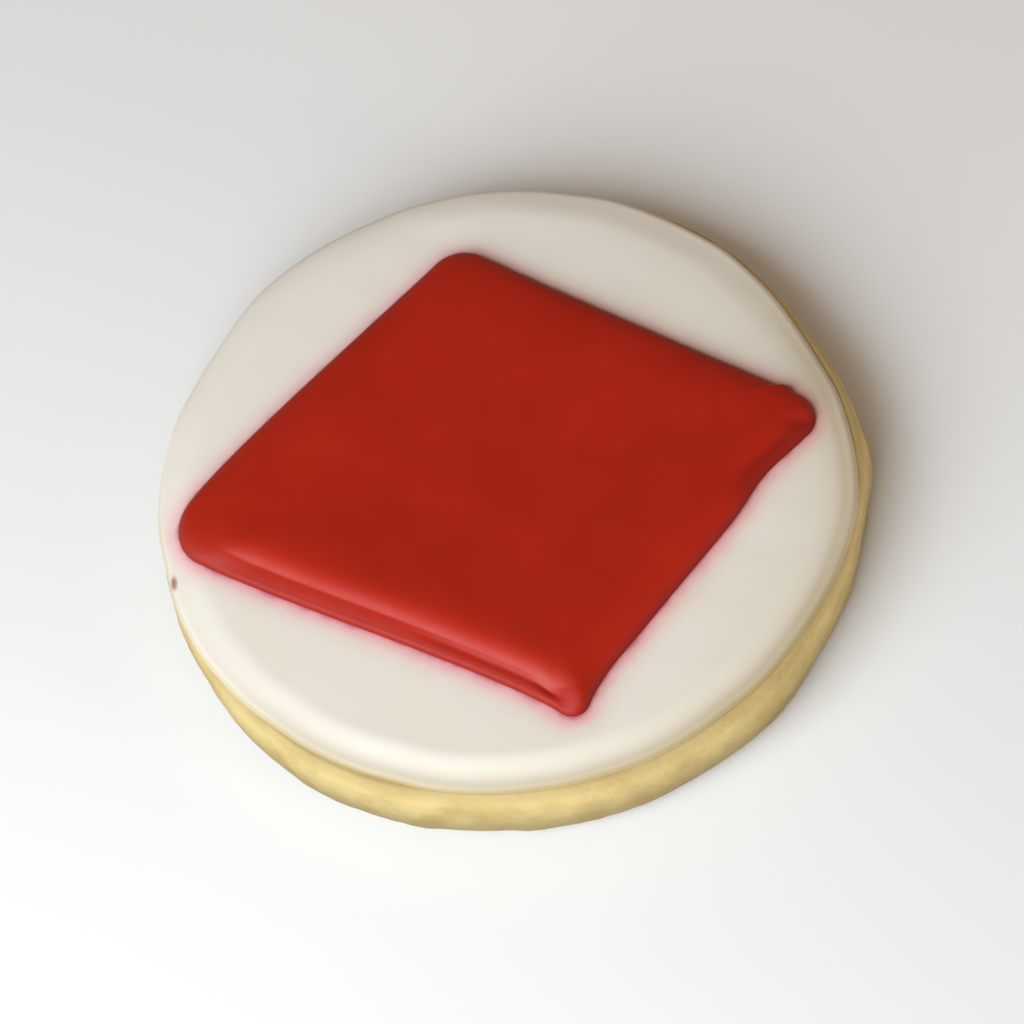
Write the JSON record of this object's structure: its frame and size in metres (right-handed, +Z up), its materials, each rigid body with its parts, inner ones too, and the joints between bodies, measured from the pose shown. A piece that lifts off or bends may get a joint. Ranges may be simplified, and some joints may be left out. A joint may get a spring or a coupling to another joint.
{
  "type": "iced sugar cookie",
  "caption": "Round sugar biscuit covered with smooth white icing, with a raised red icing diamond lying across its top.",
  "frame": {"origin": "under the middle of the cookie's bounding box, on the surface it lies on", "axes": "+Z up out of the icing, +X towards the diamond's right corner, +Y towards its top corner"},
  "size_m": [0.0768, 0.077, 0.0123],
  "materials": {
    "biscuit": "matte",
    "white_icing": "satin",
    "red_icing": "satin"
  },
  "bodies": {
    "root": {"biscuit": "biscuit", "white_icing": "white_icing", "red_icing": "red_icing"}
  },
  "joints": []
}
